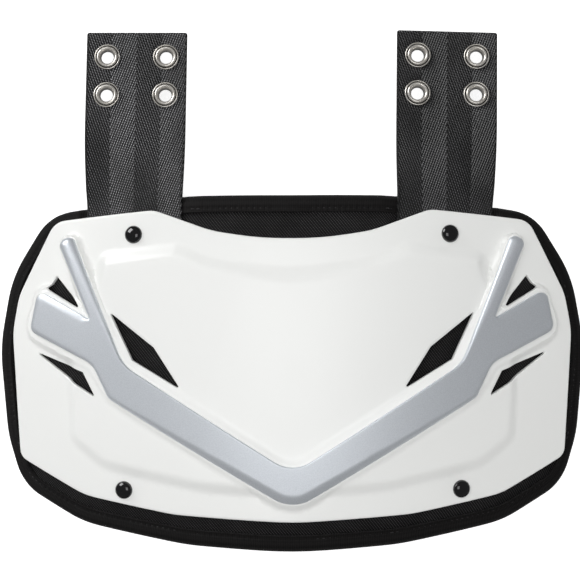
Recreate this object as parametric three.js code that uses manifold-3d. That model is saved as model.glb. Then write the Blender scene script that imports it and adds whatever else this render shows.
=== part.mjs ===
import * as THREE from 'three';
import { mergeVertices } from 'three/addons/utils/BufferGeometryUtils.js';
import Module from 'manifold-3d';

// A football back plate, lying on the edge of its pad with the hard shell up.
// Millimetres. +X is the wearer's width, +Y points to the straps, +Z out of the shell.
// Every piece is drawn on a flat sheet, with u across, v up and h off the pad's front face.
// The sheet is then bent over the wearer's back.

// Bend of the whole plate, measured at the pad's front face
const BACK_RADIUS = 260;
const SPINE_RADIUS = 700;

// Shell, a hard plastic sheet with a raised panel and a raised bed for the chevron
const SHELL_WIDTH = 300;
const SHELL_HEIGHT = 158;
const SHELL_WALL = 2.2;
const SHELL_EDGE = 0.6;
const PANEL_RISE = 3;
const PANEL_SLOPE = 5;
const PANEL_EDGE = [
  { slope: 0, rise: 0 },
  { slope: 0.6, rise: 0.8 },
  { slope: 1, rise: 1 },
];
const BED_RISE = 4.5;
const BED_SLOPE = 3.7;
const BED_LIP = 0.8;

// Chevron, the silver overlay on its bed
const CHEVRON_THICKNESS = 2.6;
const CHEVRON_SLOPE = 2;
const CHEVRON_EDGE = [
  { slope: 0, rise: 0 },
  { slope: 0, rise: 0.4 },
  { slope: 0.4, rise: 0.85 },
  { slope: 1, rise: 1 },
];

// Pad, covered foam that reaches past the shell all round
const SIDE_BORDER = 10.8;
const TOP_BORDER = 6.1;
const BOTTOM_BORDER = 15.4;
const PAD_THICKNESS = 12;
const PAD_RIM = 5.6;
const PAD_RIM_DROP = 2.1;
const PAD_FRONT_SLOPE = 13;
const PAD_BACK_SLOPE = 20;
const FRONT_LIP_DROP = 0.9;
const BACK_LIP_DROP = 0.35;

// Strip of the pad that each strap presses in
const PRESS_EDGE = 4;
const PRESS_ROOM = 1;

// Tape folded round the pad's edge
const TAPE_THICKNESS = 1;
const TAPE_REACH = 6.8;
const TAPE_ROOM = 0.6;

// Straps, two lengths of webbing that run down between the shell and the pad
const STRAP_WIDTH = 51.4;
const STRAP_THICKNESS = 2.2;
const STRAP_LENGTH = 118.5;
const STRAP_TAIL = 13;
const STRAP_LEAN = THREE.MathUtils.degToRad(1);
const STRAP_TURN = 48;
const STRAP_END_SLOPE = THREE.MathUtils.degToRad(10);
const STRAP_END_TILT = THREE.MathUtils.degToRad(3);
const STRAP_FLATTENING = 16;
const STRAP_CORNER = 1;

// Eyelets in the straps
const EYELET_DIAMETER = 13.2;
const EYELET_BORE = 7;
const EYELET_WALL = 0.7;
const EYELET_CROWN = 1.3;
const EYELETS_ACROSS = 30;
const EYELETS_ALONG = 19.8;
const EYELET_INSET = 13;

// Rivets that hold the layers together
const RIVET_HEAD = 9;
const RIVET_HEIGHT = 3;
const RIVET_SHANK = 4;
const RIVET_TAIL = 8;
const RIVET_TAIL_HEIGHT = 1.4;
const RIVET_RIM = 0.5;
const RIVET_GRIP = 5.5;
const RIVET_DISH_SLOPE = 8;
const RIVET_PLACES = {
  top: { across: 0.535, up: 0.449 },
  bottom: { across: 0.572, up: -0.38 },
};

// Room between pieces that touch, and how far the soft edge gives where it rests
const CLEARANCE = 0.3;
const SETTLE = 0.5;

// Fineness of the facets, and how far cutting shapes run past what they cut
const CHORD_ERROR = 0.36;
const U_STEP = 19;
const V_STEP = 34;
const ROUND_SIDES = 10;
const SHEET_MARGIN = 1.1;
const SMALL_ROUND = 2;
const LEAST_ROUND = 0.2;
const ROUND_SHARE = 0.96;
const CUT_PAST = 2;

// When two points are one, when two faces are one plane, and the bow of a face's edges
const SAME_PLACE = 1e-4;
const SAME_PLANE = 0.9999995;
const EDGE_BOW = 1e-4;

// Outlines of the right half, from the top centre round to the bottom centre.
// across and round are shares of the half width, up is a share of the height.
const SHELL_CORNERS = [
  { across: 0, up: 0.42, round: 0.6 },
  { across: 0.267, up: 0.454, round: 0.4 },
  { across: 0.467, up: 0.527, round: 0.15 },
  { across: 0.832, up: 0.507, round: 0.08 },
  { across: 0.977, up: 0.263, round: 0.2 },
  { across: 1.004, up: 0.139, round: 0.267 },
  { across: 0.973, up: -0.29, round: 0.047 },
  { across: 0.72, up: -0.405, round: 0.267 },
  { across: 0.4, up: -0.455, round: 0.533 },
  { across: 0, up: -0.476, round: 1.333 },
];
const PANEL_CORNERS = [
  { across: 0, up: 0.329, round: 0.6 },
  { across: 0.267, up: 0.363, round: 0.333 },
  { across: 0.38, up: 0.42, round: 0.067 },
  { across: 0.66, up: 0.397, round: 0.053 },
  { across: 0.784, up: 0, round: 0.4 },
  { across: 0.775, up: -0.228, round: 0.08 },
  { across: 0.647, up: -0.318, round: 0.133 },
  { across: 0.307, up: -0.379, round: 0.533 },
  { across: 0, up: -0.4, round: 1.333 },
];
const CHEVRON_CORNERS = [
  { across: 0, up: -0.313, round: 0.107 },
  { across: 0.561, up: 0.027, round: 0.133 },
  { across: 0.746, up: 0.454, round: 0.025 },
  { across: 0.8, up: 0.434, round: 0.033 },
  { across: 0.672, up: 0.171, round: 0.005 },
  { across: 0.867, up: 0.274, round: 0.027 },
  { across: 0.903, up: 0.14, round: 0.033 },
  { across: 0.665, up: 0.029, round: 0.08 },
  { across: 0.612, up: -0.081, round: 0.04 },
  { across: 0, up: -0.43, round: 0.12 },
];
const VENT_CORNERS = {
  upper: [
    { across: 0.821, up: 0.323 },
    { across: 0.717, up: 0.206 },
    { across: 0.853, up: 0.284 },
  ],
  inner: [
    { across: 0.616, up: 0.2 },
    { across: 0.46, up: 0.083 },
    { across: 0.375, up: -0.042 },
    { across: 0.381, up: -0.045 },
    { across: 0.535, up: 0.042 },
  ],
  lower: [
    { across: 0.915, up: 0.073 },
    { across: 0.713, up: 0.003 },
    { across: 0.664, up: -0.082 },
    { across: 0.757, up: -0.029 },
  ],
};
// The pad's own outline: up is a share of its reach above or below the sheet's centre,
// across and round are shares of its half width.
const PAD_CORNERS = [
  { across: 0, up: 1, round: 5.6 },
  { across: 0.37, up: 1.007, round: 1.85 },
  { across: 0.812, up: 0.942, round: 0.16 },
  { across: 0.957, up: 0.587, round: 0.37 },
  { across: 1.007, up: 0.157, round: 0.49 },
  { across: 0.975, up: -0.383, round: 0.37 },
  { across: 0.917, up: -0.678, round: 0.17 },
  { across: 0.691, up: -0.87, round: 0.37 },
  { across: 0.34, up: -0.966, round: 0.93 },
  { across: 0, up: -1, round: 1.85 },
];

const COLOURS = {
  shell: { color: 0xeaecea, roughness: 0.35, metalness: 0 },
  chevron: { color: 0xb3b8bf, roughness: 0.4, metalness: 0.5 },
  pad: { color: 0x1c1b1c, roughness: 0.95, metalness: 0 },
  tape: { color: 0x161516, roughness: 0.9, metalness: 0 },
  strap: { color: 0x2b2b2e, roughness: 0.6, metalness: 0 },
  eyelet: { color: 0xc9c8c4, roughness: 0.2, metalness: 1 },
  rivet: { color: 0x0b0b0c, roughness: 0.12, metalness: 0 },
};

const wasm = await Module();
wasm.setup();

// Levels off the pad's front face
const shellUnder = CLEARANCE;
const shellTop = shellUnder + SHELL_WALL;
const panelTop = shellTop + PANEL_RISE;
const bedTop = shellTop + BED_RISE;
const chevronUnder = bedTop + CLEARANCE;
const chevronTop = chevronUnder + CHEVRON_THICKNESS;
const strapUnder = -STRAP_THICKNESS;
const pressDepth = STRAP_THICKNESS + 2 * CLEARANCE;

// Reach of the pad from the centre of the sheet
const padHalfWidth = SHELL_WIDTH / 2 + SIDE_BORDER;
const shellUps = SHELL_CORNERS.map((corner) => corner.up * SHELL_HEIGHT);
const padAbove = Math.max(...shellUps) + TOP_BORDER;
const padBelow = -Math.min(...shellUps) + BOTTOM_BORDER;

// Corners of a whole outline from the table of its right half
function wholeLoop(table, place) {
  const right = table.map(place);
  const left = right.filter((corner) => corner.x > 0).map((corner) => ({ ...corner, x: -corner.x }));
  return [...right, ...left.reverse()].reverse();
}

function onShell({ across, up, round = 0 }) {
  const half = SHELL_WIDTH / 2;
  return { x: across * half, y: up * SHELL_HEIGHT, round: round * half };
}

function onPad({ across, up, round }) {
  const reach = up > 0 ? padAbove : padBelow;
  return { x: across * padHalfWidth, y: up * reach, round: round * padHalfWidth };
}

// Points of a loop with rounded corners, set in from the drawn outline by inset
function loopPoints(corners, inset = 0) {
  const count = corners.length;
  const points = corners.map((corner) => new THREE.Vector2(corner.x, corner.y));
  const along = points.map((point, i) => points[(i + 1) % count].clone().sub(point).normalize());
  const moved = points.map((point, i) => {
    const before = along[(i + count - 1) % count];
    const normals = new THREE.Vector2(-before.y - along[i].y, before.x + along[i].x);
    return point.clone().addScaledVector(normals, inset / (1 + before.dot(along[i])));
  });
  const room = moved.map((point, i) => point.distanceTo(moved[(i + 1) % count]) / 2);
  return moved.flatMap((point, i) => {
    const before = along[(i + count - 1) % count];
    const turn = Math.atan2(before.cross(along[i]), before.dot(along[i]));
    if (corners[i].round === 0) return [point];
    const arcStep = Math.sqrt((8 * CHORD_ERROR) / Math.max(corners[i].round, SMALL_ROUND));
    const sides = Math.max(1, Math.ceil(Math.abs(turn) / arcStep));
    const reach = Math.tan(Math.abs(turn) / 2);
    const most = Math.min(room[i], room[(i + count - 1) % count]) * ROUND_SHARE;
    const wanted = Math.max(corners[i].round - inset * Math.sign(turn), LEAST_ROUND);
    const radius = Math.min(wanted, most / reach);
    const start = point.clone().addScaledVector(before, -radius * reach);
    const inward = new THREE.Vector2(-before.y, before.x).multiplyScalar(Math.sign(turn));
    const centre = start.clone().addScaledVector(inward, radius);
    return Array.from({ length: sides + 1 }, (_, k) =>
      start.clone().rotateAround(centre, (turn * k) / sides));
  });
}

// A closed body through loops of as many points each, from the lowest level to the highest
function stack(rings, closedSection = false) {
  const size = rings[0].loop.length;
  const vertices = rings.flatMap(({ loop, level }) => loop.flatMap((p) => [p.x, p.y, level]));
  const faces = [];
  const joins = closedSection ? rings.length : rings.length - 1;
  for (let r = 0; r < joins; r += 1) {
    const low = r * size;
    const high = ((r + 1) % rings.length) * size;
    for (let i = 0; i < size; i += 1) {
      const j = (i + 1) % size;
      faces.push(low + i, low + j, high + j, low + i, high + j, high + i);
    }
  }
  if (!closedSection) {
    const last = (rings.length - 1) * size;
    for (const [a, b, c] of THREE.ShapeUtils.triangulateShape(rings[0].loop, [])) {
      faces.push(c, b, a);
    }
    for (const [a, b, c] of THREE.ShapeUtils.triangulateShape(rings.at(-1).loop, [])) {
      faces.push(last + a, last + b, last + c);
    }
  }
  const geometry = new THREE.BufferGeometry();
  geometry.setAttribute('position', new THREE.Float32BufferAttribute(vertices, 3));
  geometry.setIndex(faces);
  return geometry;
}

function solid(geometry) {
  const bare = geometry.clone();
  bare.deleteAttribute('normal');
  bare.deleteAttribute('uv');
  const merged = mergeVertices(bare, SAME_PLACE);
  return new wasm.Manifold(new wasm.Mesh({
    numProp: 3,
    vertProperties: new Float32Array(merged.attributes.position.array),
    triVerts: new Uint32Array(merged.index.array),
  }));
}

function solidStack(corners, sections) {
  return solid(stack(sections.map(({ inset, level }) => ({ loop: loopPoints(corners, inset), level }))));
}

// A round post along h, from a half section turned about its axis
function turned(u, v, profile, sides = ROUND_SIDES) {
  const points = profile.map(({ radius, level }) => new THREE.Vector2(radius, level));
  const geometry = new THREE.LatheGeometry(points, sides);
  geometry.rotateX(Math.PI / 2);
  geometry.translate(u, v, 0);
  return geometry;
}

function bore(u, v, diameter, low, high) {
  return solid(turned(u, v, [
    { radius: 0, level: low },
    { radius: diameter / 2, level: low },
    { radius: diameter / 2, level: high },
    { radius: 0, level: high },
  ]));
}

// Bend of the sheet
function bend(u, v, h) {
  const across = u / BACK_RADIUS;
  const x = (BACK_RADIUS + h) * Math.sin(across);
  const lift = (BACK_RADIUS + h) * Math.cos(across) - BACK_RADIUS;
  const along = v / SPINE_RADIUS;
  const y = (SPINE_RADIUS + lift) * Math.sin(along);
  const z = (SPINE_RADIUS + lift) * Math.cos(along) - SPINE_RADIUS;
  return new THREE.Vector3(x, y, z);
}

// Axes of the sheet at one of its points, as a frame for a rigid piece
function frameAt(u, v, h) {
  const step = 0.01;
  const origin = bend(u, v, h);
  const right = bend(u + step, v, h).sub(origin).normalize();
  const out = bend(u, v, h + step).sub(origin).normalize();
  const up = out.clone().cross(right).normalize();
  return new THREE.Matrix4().makeBasis(right, up, out).setPosition(origin);
}

// Lines that cut the flat faces before they are bent
function steps(from, to, step) {
  const count = Math.max(1, Math.round((to - from) / step));
  return Array.from({ length: count + 1 }, (_, i) => from + ((to - from) * i) / count);
}

// Even lines with some exact ones among them, in place of the even ones close by
function withLines(even, exact, room) {
  const clear = even.filter((value) => exact.every((line) => Math.abs(line - value) > room));
  return [...clear, ...exact].sort((a, b) => a - b);
}

// Cuts every triangle where it crosses one line of u or v
function cutFaces(points, faces, axis, value) {
  const side = points.map((p) => {
    const off = p.getComponent(axis) - value;
    return Math.abs(off) < SAME_PLACE ? 0 : Math.sign(off);
  });
  const crossings = new Map();
  const crossing = (a, b) => {
    const key = a < b ? `${a},${b}` : `${b},${a}`;
    if (!crossings.has(key)) {
      const [p, q] = a < b ? [points[a], points[b]] : [points[b], points[a]];
      const share = (value - p.getComponent(axis)) / (q.getComponent(axis) - p.getComponent(axis));
      const point = p.clone().lerp(q, share).setComponent(axis, value);
      crossings.set(key, points.push(point) - 1);
    }
    return crossings.get(key);
  };
  return faces.flatMap((face) => {
    const { corners, plane } = face;
    const sides = corners.map((corner) => side[corner]);
    if (!(sides.includes(1) && sides.includes(-1))) return [face];
    const parts = { '-1': [], 1: [] };
    corners.forEach((corner, i) => {
      const next = corners[(i + 1) % 3];
      if (side[corner] >= 0) parts[1].push(corner);
      if (side[corner] <= 0) parts[-1].push(corner);
      if (side[corner] * side[next] < 0) {
        const middle = crossing(corner, next);
        parts[1].push(middle);
        parts[-1].push(middle);
      }
    });
    return [parts[1], parts[-1]].flatMap((part) =>
      part.slice(2).map((_, i) => ({ corners: [part[0], part[i + 1], part[i + 2]], plane })));
  });
}

// Numbers the groups of items that joined pairs connect
function groups(count, pairs) {
  const parent = Array.from({ length: count }, (_, i) => i);
  const root = (i) => {
    let top = i;
    while (parent[top] !== top) top = parent[top];
    parent[i] = top;
    return top;
  };
  pairs.forEach(([a, b]) => {
    parent[root(a)] = root(b);
  });
  return parent.map((_, i) => root(i));
}

function neighbours(faces) {
  const edges = new Map();
  const pairs = [];
  faces.forEach(({ corners }, f) => {
    corners.forEach((a, i) => {
      const b = corners[(i + 1) % 3];
      edges.set(`${a},${b}`, f);
      if (edges.has(`${b},${a}`)) pairs.push([f, edges.get(`${b},${a}`)]);
    });
  });
  return pairs;
}

function normalOf(points, [a, b, c]) {
  const first = points[b].clone().sub(points[a]);
  return first.cross(points[c].clone().sub(points[a])).normalize();
}

// Loops round a patch of faces, following the direction of the faces
function edgeLoops(faces) {
  const inner = new Set();
  faces.forEach(({ corners }) => corners.forEach((a, i) => inner.add(`${a},${corners[(i + 1) % 3]}`)));
  const next = new Map();
  faces.forEach(({ corners }) => corners.forEach((a, i) => {
    const b = corners[(i + 1) % 3];
    if (!inner.has(`${b},${a}`)) next.set(a, b);
  }));
  const loops = [];
  while (next.size > 0) {
    const loop = [];
    let at = next.keys().next().value;
    while (next.has(at)) {
      const to = next.get(at);
      next.delete(at);
      loop.push(at);
      at = to;
    }
    loops.push(loop);
  }
  return loops;
}

// Lays a patch in its own plane, with its straight edges bowed in a little so none is a line
function laidFlat(points, loop, normal, centre) {
  const side = Math.abs(normal.z) > 0.5 ? new THREE.Vector3(1, 0, 0) : new THREE.Vector3(0, 0, 1);
  const first = side.cross(normal).normalize();
  const second = normal.clone().cross(first);
  return loop.map((index) => {
    const arm = points[index].clone().sub(centre);
    const flat = new THREE.Vector2(arm.dot(first), arm.dot(second));
    return flat.multiplyScalar(1 + EDGE_BOW * flat.lengthSq());
  });
}

// A flat body's faces again, with a corner wherever two of the lines cross a face
function refaced(body, uLines, vLines) {
  const mesh = body.getMesh();
  const points = [];
  for (let i = 0; i < mesh.vertProperties.length; i += 3) {
    points.push(new THREE.Vector3(...mesh.vertProperties.slice(i, i + 3)));
  }
  let faces = [];
  for (let i = 0; i < mesh.triVerts.length; i += 3) {
    faces.push({ corners: Array.from(mesh.triVerts.slice(i, i + 3)) });
  }
  const normals = faces.map(({ corners }) => normalOf(points, corners));
  const flatPairs = neighbours(faces).filter(([a, b]) => normals[a].dot(normals[b]) > SAME_PLANE);
  groups(faces.length, flatPairs).forEach((plane, f) => {
    faces[f].plane = plane;
  });
  uLines.forEach((value) => {
    faces = cutFaces(points, faces, 0, value);
  });
  vLines.forEach((value) => {
    faces = cutFaces(points, faces, 1, value);
  });
  const onLine = (value, lines) => lines.some((line) => Math.abs(line - value) < SAME_PLACE);
  const cell = (value, lines) => lines.filter((line) => line < value).length;
  const planesAt = points.map(() => new Set());
  faces.forEach((face) => {
    const middle = new THREE.Vector3();
    face.corners.forEach((corner) => {
      middle.addScaledVector(points[corner], 1 / 3);
      planesAt[corner].add(face.plane);
    });
    face.patch = `${face.plane}/${cell(middle.x, uLines)}/${cell(middle.y, vLines)}`;
  });
  const kept = points.map((p, i) =>
    planesAt[i].size > 1 || (onLine(p.x, uLines) && onLine(p.y, vLines)));
  const patchPairs = neighbours(faces).filter(([a, b]) => faces[a].patch === faces[b].patch);
  const patches = new Map();
  groups(faces.length, patchPairs).forEach((patch, f) => {
    patches.set(patch, [...(patches.get(patch) ?? []), faces[f]]);
  });
  const triangles = [];
  patches.forEach((patch) => {
    const loops = edgeLoops(patch).map((loop) => loop.filter((index) => kept[index]));
    const normal = normals[patch[0].plane];
    const centre = new THREE.Vector3();
    loops.flat().forEach((index) => centre.addScaledVector(points[index], 1 / loops.flat().length));
    const drawn = loops.map((loop) => ({ loop, flat: laidFlat(points, loop, normal, centre) }));
    const areaOf = (item) => Math.abs(THREE.ShapeUtils.area(item.flat));
    drawn.sort((a, b) => areaOf(b) - areaOf(a));
    const order = drawn.flatMap((item) => item.loop);
    const [outer, ...holes] = drawn.map((item) => item.flat);
    for (const corner of THREE.ShapeUtils.triangulateShape(outer, holes)) {
      triangles.push(corner.map((i) => order[i]));
    }
  });
  return { points, triangles };
}

// A flat body bent into place, as a mesh
function bentGeometry(body, uLines, vLines, place) {
  const { points, triangles } = refaced(body, uLines, vLines);
  const used = [...new Set(triangles.flat())];
  const renumbered = new Map(used.map((index, i) => [index, i]));
  const placed = used.map((index) => place(points[index].x, points[index].y, points[index].z));
  const geometry = new THREE.BufferGeometry();
  geometry.setAttribute('position', new THREE.Float32BufferAttribute(
    placed.flatMap((p) => [p.x, p.y, p.z]), 3));
  geometry.setIndex(triangles.flat().map((index) => renumbered.get(index)));
  return geometry;
}

function namedMesh(name, geometry, look) {
  geometry.deleteAttribute('uv');
  geometry.computeVertexNormals();
  const mesh = new THREE.Mesh(geometry, new THREE.MeshStandardMaterial(COLOURS[look]));
  mesh.name = name;
  return mesh;
}

// The two sides, with how far each strap's middle lies from its rivet, as a share of its width
const SIDES = [
  { name: 'left', sign: -1, aside: -0.029 * STRAP_WIDTH },
  { name: 'right', sign: 1, aside: -0.02 * STRAP_WIDTH },
];
const shellLoop = wholeLoop(SHELL_CORNERS, onShell);
const panelLoop = wholeLoop(PANEL_CORNERS, onShell);
const chevronLoop = wholeLoop(CHEVRON_CORNERS, onShell);
const padLoop = wholeLoop(PAD_CORNERS, onPad);
const uLines = steps(-padHalfWidth * SHEET_MARGIN, padHalfWidth * SHEET_MARGIN, U_STEP);
const vLines = steps(-padBelow * SHEET_MARGIN, padAbove * SHEET_MARGIN, V_STEP);

// Rivets: their places on the sheet and what they pass through
const rivetSpots = Object.entries(RIVET_PLACES).map(([row, corner]) => ({ row, ...onShell(corner) }));
const rivets = SIDES.flatMap(({ name, sign }) => rivetSpots.map(({ row, x, y }) => (
  { name: `rivet_${row}_${name}`, u: sign * x, v: y })));
const topRivet = rivetSpots.find(({ row }) => row === 'top');
const rivetBore = RIVET_SHANK + 2 * CLEARANCE;
const tailUnder = -PAD_THICKNESS + RIVET_GRIP;

function makeRivet({ name, u, v }) {
  const seat = shellTop + CLEARANCE;
  const head = RIVET_HEAD / 2;
  const dome = steps(0, Math.PI / 2, Math.PI / 6).map((angle) => ({
    radius: head * Math.cos(angle),
    level: seat + RIVET_RIM + (RIVET_HEIGHT - RIVET_RIM) * Math.sin(angle),
  }));
  dome[dome.length - 1].radius = 0;
  const tailTop = tailUnder - CLEARANCE;
  const profile = [
    { radius: 0, level: tailTop - RIVET_TAIL_HEIGHT },
    { radius: RIVET_TAIL / 2 - RIVET_RIM, level: tailTop - RIVET_TAIL_HEIGHT },
    { radius: RIVET_TAIL / 2, level: tailTop - RIVET_TAIL_HEIGHT / 2 },
    { radius: RIVET_TAIL / 2, level: tailTop },
    { radius: RIVET_SHANK / 2, level: tailTop },
    { radius: RIVET_SHANK / 2, level: seat },
    { radius: head, level: seat },
    ...dome,
  ];
  const geometry = solidGeometry(turned(0, 0, profile));
  const mesh = namedMesh(name, geometry, 'rivet');
  mesh.applyMatrix4(frameAt(u, v, 0));
  return mesh;
}

// A lathe's mesh with its seam and poles closed
function solidGeometry(geometry) {
  const mesh = solid(geometry).getMesh();
  const closed = new THREE.BufferGeometry();
  closed.setAttribute('position', new THREE.Float32BufferAttribute(mesh.vertProperties, 3));
  closed.setIndex(Array.from(mesh.triVerts));
  return closed;
}

// Shell: sheet, raised panel and bed, the hollows under them, vents and rivet holes
function makeShell() {
  const under = shellUnder;
  let body = solidStack(shellLoop, [
    { inset: SHELL_EDGE, level: under },
    { inset: 0, level: under + SHELL_EDGE },
    { inset: 0, level: shellTop - SHELL_EDGE },
    { inset: SHELL_EDGE, level: shellTop },
  ]);
  const panel = (inset, level) => solidStack(panelLoop, PANEL_EDGE.map(({ slope, rise }) => (
    { inset: inset + slope * PANEL_SLOPE, level: level - (1 - rise) * PANEL_RISE })));
  const bed = (inset, level) => solidStack(chevronLoop, [
    { inset: inset - BED_LIP - BED_SLOPE, level: level - BED_RISE },
    { inset: inset - BED_LIP, level },
  ]);
  body = body.add(panel(0, panelTop)).add(bed(0, bedTop));
  body = body.subtract(panel(SHELL_WALL, panelTop - SHELL_WALL));
  body = body.subtract(bed(SHELL_WALL, bedTop - SHELL_WALL));
  for (const { sign } of SIDES) {
    for (const corners of Object.values(VENT_CORNERS)) {
      const loop = corners.map(onShell).map(({ x, y }) => new THREE.Vector2(sign * x, y));
      if (THREE.ShapeUtils.isClockWise(loop)) loop.reverse();
      const rings = [{ loop, level: under - CUT_PAST }, { loop, level: bedTop + CUT_PAST }];
      body = body.subtract(solid(stack(rings)));
    }
  }
  for (const { u, v } of rivets) {
    body = body.subtract(bore(u, v, rivetBore, under - CUT_PAST, bedTop));
  }
  return namedMesh('shell', bentGeometry(body, uLines, vLines, bend), 'shell');
}

function makeChevron() {
  const body = solidStack(chevronLoop, CHEVRON_EDGE.map(({ slope, rise }) => (
    { inset: slope * CHEVRON_SLOPE, level: chevronUnder + rise * CHEVRON_THICKNESS })));
  return namedMesh('chevron', bentGeometry(body, uLines, vLines, bend), 'chevron');
}

// Pressed strip where a strap runs over the pad: 1 under the strap, 0 beside it
const pressHalf = STRAP_WIDTH / 2 + PRESS_ROOM;
const pressFoot = topRivet.y - STRAP_TAIL - PRESS_ROOM;
const strapMiddles = SIDES.map(({ sign, aside }) => sign * topRivet.x + aside);

function pressAt(u, v) {
  const beside = Math.min(...strapMiddles.map((middle) => Math.abs(u - middle))) - pressHalf;
  const across = THREE.MathUtils.clamp(1 - beside / PRESS_EDGE, 0, 1);
  return across * THREE.MathUtils.clamp(1 - (pressFoot - v) / PRESS_EDGE, 0, 1);
}

const pressU = strapMiddles.flatMap((middle) => [-1, 1].flatMap((edge) => [0, PRESS_EDGE].map((out) =>
  middle + edge * (pressHalf + out))));
const padU = withLines(uLines, pressU, U_STEP / 2);
const padV = withLines(vLines, [pressFoot, pressFoot - PRESS_EDGE], V_STEP / 4);

// The front sinks under the straps while the back stays where it is
function bendPad(u, v, h) {
  const share = THREE.MathUtils.clamp((h - tailUnder) / (-PAD_RIM_DROP - tailUnder), 0, 1);
  return bend(u, v, h - pressDepth * share * pressAt(u, v));
}

// Half section of the pad's edge, from its front face round to its back face
const rimInset = TAPE_THICKNESS + TAPE_ROOM;
const rimBack = -PAD_RIM_DROP - PAD_RIM;
const rimRound = PAD_RIM / 3;
const padSection = [
  { inset: rimInset + PAD_FRONT_SLOPE, level: 0 },
  { inset: rimInset + TAPE_REACH, level: -PAD_RIM_DROP * FRONT_LIP_DROP },
  { inset: rimInset + rimRound, level: -PAD_RIM_DROP },
  { inset: rimInset, level: -PAD_RIM_DROP - PAD_RIM / 2 },
  { inset: rimInset + rimRound, level: rimBack },
  { inset: rimInset + TAPE_REACH, level: rimBack - (PAD_THICKNESS + rimBack) * BACK_LIP_DROP },
  { inset: rimInset + PAD_BACK_SLOPE, level: -PAD_THICKNESS },
];

function makePad() {
  let body = solidStack(padLoop, [...padSection].reverse());
  for (const { u, v } of rivets) {
    const seat = RIVET_TAIL / 2 + PRESS_ROOM;
    const dish = turned(u, v, [
      { radius: 0, level: -PAD_THICKNESS - PRESS_ROOM },
      { radius: seat + RIVET_DISH_SLOPE, level: -PAD_THICKNESS - PRESS_ROOM },
      { radius: seat, level: tailUnder },
      { radius: 0, level: tailUnder },
    ]);
    body = body.subtract(solid(dish));
    body = body.subtract(bore(u, v, rivetBore, -PAD_THICKNESS, CUT_PAST));
  }
  return namedMesh('pad', bentGeometry(body, padU, padV, bendPad), 'pad');
}

// The tape's section: the pad's edge set out by the clearance and by the tape's thickness
function sectionOffset(section, distance) {
  const points = section.map(({ inset, level }) => new THREE.Vector2(inset, level));
  return points.map((point, i) => {
    const before = points[i].clone().sub(points[Math.max(i - 1, 0)]).normalize();
    const after = points[Math.min(i + 1, points.length - 1)].clone().sub(points[i]).normalize();
    const first = i === 0 ? after : before;
    const second = i === points.length - 1 ? before : after;
    const outward = new THREE.Vector2(first.y + second.y, -first.x - second.x);
    return point.clone().addScaledVector(outward, distance / (1 + first.dot(second)));
  });
}

function makeTape() {
  const covered = padSection.slice(1, -1);
  const inside = sectionOffset(covered, TAPE_ROOM);
  const outside = sectionOffset(covered, TAPE_ROOM + TAPE_THICKNESS);
  const rings = [...outside.reverse(), ...inside].map((point) => ({
    loop: loopPoints(padLoop, point.x),
    level: point.y,
  }));
  return bentGeometry(solid(stack(rings, true)), padU, padV, bendPad);
}

// A strap: it follows the bend under the shell, turns level past the pad and ends flat
const turnFrom = padAbove - STRAP_FLATTENING / 2;
const turnTo = turnFrom + STRAP_TURN;
const strapTail = topRivet.y - STRAP_TAIL;
const strapTop = strapTail + STRAP_LENGTH;

function strapRibbon({ sign, aside }) {
  const strapU = (v) => sign * topRivet.x + aside + (v - topRivet.y) * Math.tan(STRAP_LEAN);
  const start = frameAt(strapU(turnFrom), turnFrom, 0);
  start.multiply(new THREE.Matrix4().makeRotationZ(-STRAP_LEAN));
  const from = new THREE.Quaternion().setFromRotationMatrix(start);
  const to = new THREE.Quaternion().setFromEuler(
    new THREE.Euler(-STRAP_END_SLOPE, sign * STRAP_END_TILT, -STRAP_LEAN, 'ZXY'));
  const up = new THREE.Vector3(0, STRAP_TURN / 2, 0);
  const first = new THREE.Vector3().setFromMatrixPosition(start);
  const second = up.clone().applyQuaternion(from).add(first);
  const third = up.clone().applyQuaternion(to).add(second);
  const line = new THREE.QuadraticBezierCurve3(first, second, third);
  const frame = new THREE.Matrix4().compose(third, to, new THREE.Vector3(1, 1, 1));
  const place = (w, v, h) => {
    if (v >= turnTo) return new THREE.Vector3(w, v - turnTo, h).applyMatrix4(frame);
    const bent = bend(strapU(v) + w, v, h);
    if (v <= turnFrom) return bent;
    const share = (v - turnFrom) / STRAP_TURN;
    const twist = from.clone().slerp(to, THREE.MathUtils.smoothstep(share, 0, 1));
    const ribbon = new THREE.Vector3(w, 0, h).applyQuaternion(twist).add(line.getPoint(share));
    return bent.lerp(ribbon, THREE.MathUtils.smoothstep(v, turnFrom, turnFrom + STRAP_FLATTENING));
  };
  return { place, frame };
}

const eyeletPlaces = [-1, 1].flatMap((side) => [0, 1].map((row) => ({
  w: (side * EYELETS_ACROSS) / 2,
  v: strapTop - EYELET_INSET - row * EYELETS_ALONG,
})));
const barrel = EYELET_BORE / 2 + EYELET_WALL;

function makeStrap(side) {
  const half = STRAP_WIDTH / 2;
  const corners = [
    { x: -half, y: strapTail, round: 0 },
    { x: half, y: strapTail, round: 0 },
    { x: half, y: strapTop, round: STRAP_CORNER },
    { x: -half, y: strapTop, round: STRAP_CORNER },
  ];
  let body = solidStack(corners, [{ inset: 0, level: strapUnder }, { inset: 0, level: 0 }]);
  for (const { w, v } of eyeletPlaces) {
    body = body.subtract(bore(w, v, 2 * (barrel + CLEARANCE), strapUnder - CUT_PAST, CUT_PAST));
  }
  body = body.subtract(bore(-side.aside, topRivet.y, rivetBore, strapUnder - CUT_PAST, CUT_PAST));
  const wLines = steps(-half, half, U_STEP).slice(1, -1);
  const lengthLines = steps(strapTail, turnTo, STRAP_FLATTENING / 2);
  const { place } = strapRibbon(side);
  return namedMesh(`strap_${side.name}`, bentGeometry(body, wLines, lengthLines, place), 'strap');
}

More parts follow.
